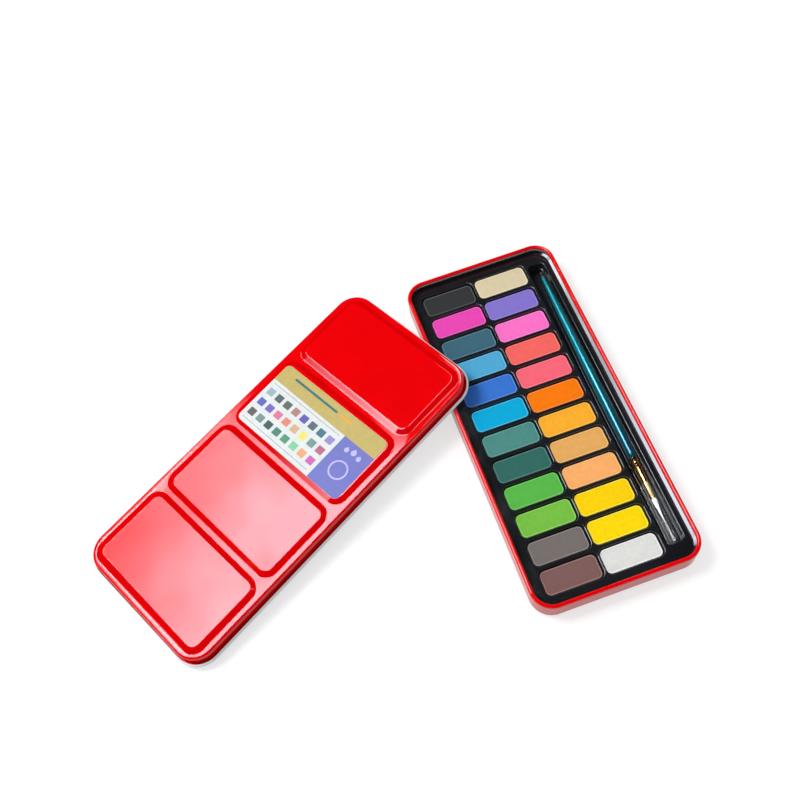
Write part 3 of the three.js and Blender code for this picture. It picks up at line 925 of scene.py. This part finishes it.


# %% [markdown]
# ### The handle
# Turned wood under a metallic teal lacquer, with a clear gloss coat over it. Its colour carries painted
# light and shade: bright turquoise towards the tail and deep blue-teal towards the ferrule.

# %% Make the handle's lacquer
handle_paint = Finish("handle_paint", Metallic=0.7, Roughness=0.3, Coat_Weight=1.0, Coat_Roughness=0.1)
# Painted light and shade: the lacquer is drawn lighter towards the tail and darker towards the ferrule
painted_light_towards_tail = handle_paint.between(handle_paint.along("Y"), 0, 1, start=-0.05, end=0.095)
flake = handle_paint.noise(0.0004, detail=2)
shaded_tone = handle_paint.tint(flake, (0.001, 0.09, 0.16, 1), (0.002, 0.12, 0.21, 1))
lit_tone = handle_paint.tint(flake, (0.003, 0.42, 0.52, 1), (0.01, 0.55, 0.68, 1))
handle_paint.wear("Base Color", handle_paint.blend(painted_light_towards_tail, shaded_tone, lit_tone))
handle_paint.wear("Roughness", handle_paint.between(flake, 0.26, 0.34))
handle_paint.wear("Normal", handle_paint.bump(handle_paint.noise(0.006, detail=1), 0.00002))
print("lacquer:", handle_paint.material.name)

# %% Turn the handle
FERRULE_LENGTH = 28
NECK = FERRULE_LENGTH + 0.1
TAIL = 170
TENON_RADIUS, TENON_LENGTH = 1.8, 9
NECK_RADIUS, BELLY_RADIUS, WAIST_RADIUS, TAIL_RADIUS = 2.5, 2.85, 2.15, 1.4
HANDLE_STEPS = 8

handle_length = TAIL - NECK
handle = turned("handle_turning", [
    (0, NECK - TENON_LENGTH), (TENON_RADIUS, NECK - TENON_LENGTH), (TENON_RADIUS, NECK),
    (NECK_RADIUS - 0.15, NECK),
    *eased([
        (NECK_RADIUS, NECK + 0.3),
        (BELLY_RADIUS, NECK + 0.22 * handle_length),
        (BELLY_RADIUS, NECK + 0.42 * handle_length),
        (WAIST_RADIUS, NECK + 0.75 * handle_length),
        (TAIL_RADIUS, TAIL - TAIL_RADIUS),
    ], HANDLE_STEPS),
    *round_end(TAIL_RADIUS, TAIL - TAIL_RADIUS, HANDLE_STEPS),
])
handle.data.materials.append(handle_paint.material)
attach(handle, "brush")
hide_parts("brush_handle")
report(handle)

# %% [markdown]
# ### The ferrule
# A seamless tube of gold-plated brass, tapered to the tuft, with three rings rolled in where it grips the
# wood and a fine rolled edge at its mouth.

# %% Make the gold plating
gold = Finish("gold_plating", Metallic=1.0, Roughness=0.2)
streak = gold.noise(0.0008, detail=3, stretch=(6, 0.4, 6))
gold.wear("Base Color", gold.tint(streak, (0.62, 0.40, 0.14, 1), (0.82, 0.58, 0.24, 1)))
gold.wear("Roughness", gold.between(streak, 0.16, 0.26))
gold.wear("Normal", gold.bump(streak, 0.000001))
print("plating:", gold.material.name)

# %% Turn the ferrule
MOUTH_RADIUS, TIP_RADIUS = 2.5, 1.4
FERRULE_WALL = 0.2
MOUTH_BEAD = 0.1
CRIMPS, CRIMP_STEPS = 3, 8
CRIMP_PITCH, CRIMP_DEPTH, CRIMP_START = 1.6, 0.45, 2.4

crimp_end = FERRULE_LENGTH - CRIMP_START - CRIMPS * CRIMP_PITCH
tip_bore, mouth_bore = TIP_RADIUS - FERRULE_WALL, MOUTH_RADIUS - FERRULE_WALL
wall = [(tip_bore, 0), (TIP_RADIUS - 0.05, -0.05), (TIP_RADIUS, 0.1), (MOUTH_RADIUS, crimp_end)]
for step in range(1, CRIMPS * CRIMP_STEPS + 1):
    turn = 2 * math.pi * step / CRIMP_STEPS
    pressed = CRIMP_DEPTH * (1 - math.cos(turn)) / 2
    wall.append((MOUTH_RADIUS - pressed, crimp_end + step * CRIMP_PITCH / CRIMP_STEPS))
wall += [
    (MOUTH_RADIUS, FERRULE_LENGTH - 0.5), (MOUTH_RADIUS + MOUTH_BEAD, FERRULE_LENGTH - 0.35),
    (MOUTH_RADIUS + MOUTH_BEAD, FERRULE_LENGTH - 0.15), (MOUTH_RADIUS, FERRULE_LENGTH),
    (mouth_bore, FERRULE_LENGTH - 0.05), (mouth_bore, FERRULE_LENGTH - 1.5),
    (mouth_bore - CRIMP_DEPTH, crimp_end), (tip_bore, 0),
]
ferrule = turned("ferrule_tube", wall)
ferrule.data.materials.append(gold.material)
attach(ferrule, "brush")
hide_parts("brush_ferrule")
report(ferrule)

# %% [markdown]
# ### The hair
# A tuft of white synthetic hair, set in the ferrule, swelling a little and drawn to a point. Each hair is
# a tapered thread of a few faces, bent along its own curve, which no primitive or modifier gives, so the
# threads are written to the mesh one by one. They start evenly spread, like the seeds of a sunflower.

# %% Grow the hair
HAIRS = 620
HAIR_SIDES = 3
HAIR_RINGS = 7
HAIR_RADIUS = 0.05 * MM
HAIR_THINS = 0.85
SHORTEST_SHARE = 0.94
DRIFT = 0.12
TUFT_LENGTH = 15.7 * MM
TUFT_ROOT = 2.6 * MM
TUFT_RADIUS = 1.12 * MM
TUFT_SWELLS = 0.32
TUFT_GATHERS = 0.75
OUTER_HAIR_SHORTER = 0.42
SUNFLOWER_TURN = math.pi * (3 - math.sqrt(5))
HAIR_SHARP_DEGREES = 80

random.seed(7)
corners, faces = [], []
for hair in range(HAIRS):
    reach = math.sqrt((hair + 0.5) / HAIRS)
    turn = hair * SUNFLOWER_TURN
    length = TUFT_LENGTH * (1 - OUTER_HAIR_SHORTER * reach ** 2) * random.uniform(SHORTEST_SHARE, 1)
    drift = random.uniform(-DRIFT, DRIFT)
    for ring in range(HAIR_RINGS):
        share = ring / (HAIR_RINGS - 1)
        swell = 1 + TUFT_SWELLS * math.sin(math.pi * min(1, share * 1.25)) - TUFT_GATHERS * share ** 2
        centre = Vector((
            reach * TUFT_RADIUS * swell * math.cos(turn + drift * share),
            TUFT_ROOT - share * (TUFT_ROOT + length),
            reach * TUFT_RADIUS * swell * math.sin(turn + drift * share),
        ))
        thickness = HAIR_RADIUS * (1 - HAIR_THINS * share)
        for side in range(HAIR_SIDES):
            angle = turn + 2 * math.pi * side / HAIR_SIDES
            corners.append(centre + thickness * Vector((math.cos(angle), 0, math.sin(angle))))
    base = hair * HAIR_RINGS * HAIR_SIDES
    for ring in range(HAIR_RINGS - 1):
        for side in range(HAIR_SIDES):
            here = base + ring * HAIR_SIDES + side
            beside = base + ring * HAIR_SIDES + (side + 1) % HAIR_SIDES
            faces.append((here, beside, beside + HAIR_SIDES, here + HAIR_SIDES))
    last = base + (HAIR_RINGS - 1) * HAIR_SIDES
    faces.append(tuple(base + side for side in reversed(range(HAIR_SIDES))))
    faces.append(tuple(last + side for side in range(HAIR_SIDES)))

hair_mesh = bpy.data.meshes.new("hair_tuft")
hair_mesh.from_pydata(corners, [], faces)
tuft = bpy.data.objects.new("hair_tuft", hair_mesh)
bpy.context.collection.objects.link(tuft)
only(tuft)
bpy.ops.object.mode_set(mode="EDIT")
end_drawing(tuft)
smooth(tuft, HAIR_SHARP_DEGREES)
put(tuft, brush_lie)
print(HAIRS, "hairs")

# %% Give the hair its white
hair_white = Finish("hair_white", Roughness=0.4)
sheen = hair_white.noise(0.0006, detail=2, stretch=(1, 0.1, 1))
hair_white.wear("Base Color", hair_white.tint(sheen, (0.78, 0.78, 0.76, 1), (0.93, 0.93, 0.92, 1)))
hair_white.wear("Roughness", hair_white.between(sheen, 0.3, 0.5))
hair_white.wear("Normal", hair_white.bump(sheen, 0.00001))
tuft.data.materials.append(hair_white.material)
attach(tuft, "brush")
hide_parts("brush_hair")
report(tuft)

# %% [markdown]
# ### The sleeve
# A thin clear plastic tube is pushed over the tuft and the end of the ferrule, to keep the hair straight.
# Its cut ends are slightly rounded, and it is faintly drawn along its length, as extruded tube is.

# %% Turn the sleeve
SLEEVE_START, SLEEVE_END = 11, -27.5
SLEEVE_RADIUS, SLEEVE_WALL, SLEEVE_EDGE = 2.4, 0.25, 0.06

bore = SLEEVE_RADIUS - SLEEVE_WALL
sleeve = turned("clear_tube", [
    (bore + SLEEVE_EDGE, SLEEVE_END), (SLEEVE_RADIUS - SLEEVE_EDGE, SLEEVE_END),
    (SLEEVE_RADIUS, SLEEVE_END + SLEEVE_EDGE), (SLEEVE_RADIUS, SLEEVE_START - SLEEVE_EDGE),
    (SLEEVE_RADIUS - SLEEVE_EDGE, SLEEVE_START), (bore + SLEEVE_EDGE, SLEEVE_START),
    (bore, SLEEVE_START - SLEEVE_EDGE), (bore, SLEEVE_END + SLEEVE_EDGE),
    (bore + SLEEVE_EDGE, SLEEVE_END),
])
report(sleeve)

# %% Give the sleeve its clear plastic
clear = Finish("clear_plastic", Roughness=0.0, IOR=1.34, Transmission_Weight=1.0)
haze = clear.noise(0.006, detail=0, stretch=(1, 0.1, 1))
clear.wear("Base Color", clear.tint(haze, (0.96, 0.97, 0.98, 1), (1, 1, 1, 1)))
clear.wear("Roughness", clear.between(haze, 0, 0.01))
clear.wear("Normal", clear.bump(haze, 0.0000002))
sleeve.data.materials.append(clear.material)
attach(sleeve, "sleeve")
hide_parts("bristle_sleeve")
sleeve.visible_shadow = False
report(sleeve)

# %% [markdown]
# ## Floor and light
# A white table keeps the shadow. One large soft light stands high on the left, where the lid's near half
# mirrors its bright front. Four narrow lights draw the bright lines along beads, lips, borders and handle.
# A dark card over the set is seen by reflections only, so that the rest of the red and the black keep
# their depth.

# %% Lay the floor
TABLE_SIZE = 6
SEEN_GLOW = 0.64
MIRRORED_LOW, MIRRORED_HIGH = 0.25, 0.5
MIRRORED_FROM_X, MIRRORED_TO_X = -0.13, -0.06

bpy.ops.object.select_all(action="DESELECT")
bpy.ops.mesh.primitive_plane_add(size=TABLE_SIZE)
floor = bpy.context.object
floor.name = "table"
table_white = Finish("table_white", Roughness=0.7)
table_tone = table_white.noise(0.4, detail=2)
table_white.wear("Base Color", table_white.tint(table_tone, (0.37, 0.37, 0.375, 1), (0.39, 0.39, 0.395, 1)))
table_white.shader.inputs["Emission Color"].default_value = (1, 1, 1, 1)
rays = table_white.add("ShaderNodeLightPath")
seen = table_white.between(rays.outputs["Is Camera Ray"], 0, SEEN_GLOW, 0, 1)
near_tin = table_white.between(
    table_white.along("X"), MIRRORED_LOW, MIRRORED_HIGH, start=MIRRORED_FROM_X, end=MIRRORED_TO_X,
)
mirrored = table_white.times(rays.outputs["Is Glossy Ray"], near_tin)
table_white.wear("Emission Strength", table_white.plus(seen, mirrored))
floor.data.materials.append(table_white.material)
print("table:", TABLE_SIZE, "m square")

# %% Hang the lamp
LAMP_PLACE = Vector((-1.25, 0.80, 2.0))
LAMP_SIZE_X, LAMP_SIZE_Y = 0.9, 0.8
LAMP_WATTS = 51

bpy.ops.object.light_add(type="AREA", location=LAMP_PLACE)
lamp = bpy.context.object
lamp.name = "softbox_lamp"
lamp.data.shape = "RECTANGLE"
lamp.data.size, lamp.data.size_y = LAMP_SIZE_X, LAMP_SIZE_Y
lamp.data.energy = LAMP_WATTS
lamp.visible_camera = False
lamp.visible_glossy = False
print("lamp:", LAMP_WATTS, "W")

# %% Helpers for what only shows in reflections
CARD_HEIGHT = 1.0


def reflected_only(card):
    """A card that only shows in reflections"""
    card.visible_camera = False
    card.visible_diffuse = False
    card.visible_transmission = False
    card.visible_shadow = False


def card_at(name, middle, size, height=CARD_HEIGHT, turn=0):
    """A level card, given by its middle, its two sides and its height, in metres"""
    bpy.ops.object.select_all(action="DESELECT")
    bpy.ops.mesh.primitive_plane_add(size=1)
    card = bpy.context.object
    card.name = name
    place = Matrix.Translation((*middle, height)) @ Matrix.Rotation(math.radians(turn), 4, "Z")
    return put(card, place @ Matrix.Diagonal((*size, 1, 1)))


def glowing_cloth(name):
    """A cloth that gives light and mirrors none"""
    cloth = Finish(name, Roughness=1.0)
    cloth.shader.inputs["Base Color"].default_value = (0, 0, 0, 1)
    cloth.shader.inputs["Specular IOR Level"].default_value = 0
    cloth.shader.inputs["Emission Color"].default_value = (1, 1, 1, 1)
    return cloth


# %% [markdown]
# ### The bright front of the soft light
# The cloth is brightest at its lower right and fades towards the upper left, and its upper right edge is
# soft. Its folds make the light a little uneven.

# %% Hang the bright front
FRONT_LOW, FRONT_HIGH = Vector((-1.20, 0.16)), Vector((-0.14, 0.74))
FRONT_GLOW = 11.5
FRONT_COLOUR = (0.86, 0.90, 1, 1)
FADE_DIRECTION, FADE_START, FADE_END = (1.026, -0.906, 0), -1.30, -0.78
EDGE_DIRECTION, EDGE_START, EDGE_END = (0.83, 1, 0), 0.27, 0.38

front = card_at("softbox_front", (FRONT_LOW + FRONT_HIGH) / 2, FRONT_HIGH - FRONT_LOW)
front_cloth = glowing_cloth("front_cloth")
front_cloth.shader.inputs["Emission Color"].default_value = FRONT_COLOUR
body_of_light = front_cloth.between(front_cloth.slant(FADE_DIRECTION), 0, 1, start=FADE_START, end=FADE_END)
soft_edge = front_cloth.between(front_cloth.slant(EDGE_DIRECTION), 1, 0, start=EDGE_START, end=EDGE_END)
folds = front_cloth.between(front_cloth.noise(0.12, detail=3), 0.8, 1.2)
lit = front_cloth.times(front_cloth.times(body_of_light, soft_edge), folds)
front_cloth.wear("Emission Strength", front_cloth.between(lit, 0, FRONT_GLOW, 0, 1))
front.data.materials.append(front_cloth.material)
reflected_only(front)
report(front)

# %% [markdown]
# ### The narrow lights and the dark card
# One narrow light runs over the tin. One stands where the far part of the tray's right border mirrors it,
# and two where the lid's left and near borders do.

# %% Hang the narrow lights


def narrow_light(name, middle, size, glow, turn=0):
    """A narrow light that only shows in reflections, turned by an angle in degrees"""
    light = card_at(name, middle, size, turn=turn)
    cloth = glowing_cloth(name + "_cloth")
    cloth.wear("Emission Strength", cloth.between(cloth.noise(0.1), 0.9 * glow, 1.1 * glow))
    light.data.materials.append(cloth.material)
    reflected_only(light)
    report(light)


narrow_light("overhead_strip", middle=(0.02, 0.36), size=(0.035, 0.56), glow=12)
narrow_light("far_strip", middle=(-0.51, 0.74), size=(0.12, 0.22), glow=12)
narrow_light("left_strip", middle=(-0.646, 0.574), size=(0.29, 0.035), glow=24, turn=25.5)
narrow_light("near_strip", middle=(-0.700, 0.374), size=(0.29, 0.03), glow=18, turn=-61.9)

# %% Hang the dark card
CEILING_MIDDLE, CEILING_SIZE = (0, 0.5), (12, 12)
CEILING_HEIGHT = 1.3

ceiling = card_at("dark_ceiling", CEILING_MIDDLE, CEILING_SIZE, height=CEILING_HEIGHT)
ceiling_black = Finish("ceiling_black", Roughness=1.0)
ceiling_black.shader.inputs["Specular IOR Level"].default_value = 0
ceiling_black.shader.inputs["Base Color"].default_value = (0, 0, 0, 1)
ceiling.data.materials.append(ceiling_black.material)
reflected_only(ceiling)
report(ceiling)

# %% [markdown]
# ### The room
# The room fills the shadows evenly. Where the camera, a reflection or the clear sleeve looks past
# everything else, it is plain white.

# %% Light the room
ROOM_FILL = 0.56

world = bpy.data.worlds.new("room")
bpy.context.scene.world = world
world.use_nodes = True
nodes, links = world.node_tree.nodes, world.node_tree.links
background = nodes["Background"]
rays = nodes.new("ShaderNodeLightPath")
seen = rays.outputs["Is Camera Ray"]
for kind in ("Is Glossy Ray", "Is Transmission Ray"):
    either = nodes.new("ShaderNodeMath")
    either.operation = "MAXIMUM"
    links.new(seen, either.inputs[0])
    links.new(rays.outputs[kind], either.inputs[1])
    seen = either.outputs["Value"]
strength = nodes.new("ShaderNodeMapRange")
strength.inputs["To Min"].default_value = ROOM_FILL
strength.inputs["To Max"].default_value = 1
links.new(seen, strength.inputs["Value"])
links.new(strength.outputs["Result"], background.inputs["Strength"])
background.inputs["Color"].default_value = (1, 1, 1, 1)
print("room fill:", ROOM_FILL)
